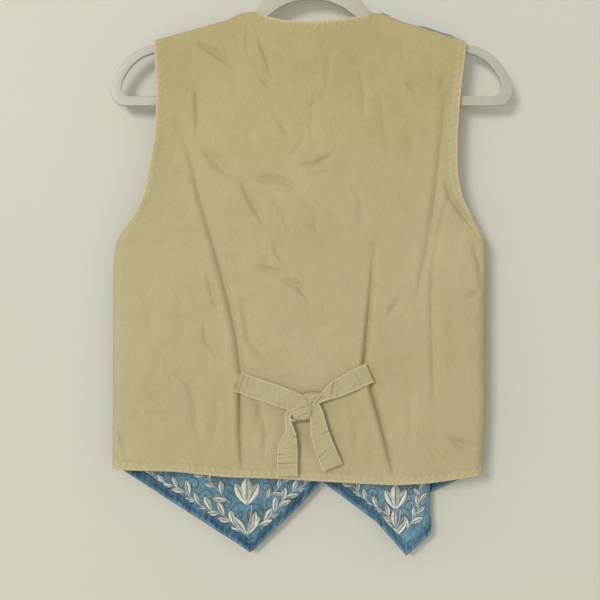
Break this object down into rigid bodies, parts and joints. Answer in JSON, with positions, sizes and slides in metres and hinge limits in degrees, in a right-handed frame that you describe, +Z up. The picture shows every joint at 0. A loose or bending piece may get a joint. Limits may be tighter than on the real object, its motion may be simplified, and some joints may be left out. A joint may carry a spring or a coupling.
{
  "type": "embroidered denim waistcoat on a flat clothes hanger",
  "caption": "Sleeveless waistcoat with pointed denim fronts, a twill back and a knotted half belt, hung on a flat loop-ended hanger with a hook.",
  "frame": {"origin": "inside top of the hook's crook, where a rail carries the hanger", "axes": "+Z up, +X along the hanger towards the wearer's right, +Y out of the garment's front, -Y out of its back"},
  "size_m": [0.45, 0.0503, 0.7193],
  "materials": {
    "twill": "matt khaki cotton twill",
    "denim": "washed blue denim, paler on its wrong side",
    "embroidery": "satin stitch in ecru thread with taupe and grey-blue",
    "buttons": "four-hole, satin",
    "hanger": "smooth satin, pale warm grey"
  },
  "bodies": {
    "root": {"back_panel": "twill", "front_left": "denim", "front_left_border": "denim", "front_right": "denim", "front_right_border": "denim", "tie_left_strap": "twill", "tie_right_strap": "twill", "tie_left_tail": "twill", "tie_right_tail": "twill", "tie_knot": "twill", "button_1": "buttons", "button_2": "buttons", "button_3": "buttons", "button_4": "buttons", "button_5": "buttons", "hanger_frame": "hanger", "hanger_hook": "hanger"}
  },
  "joints": []
}
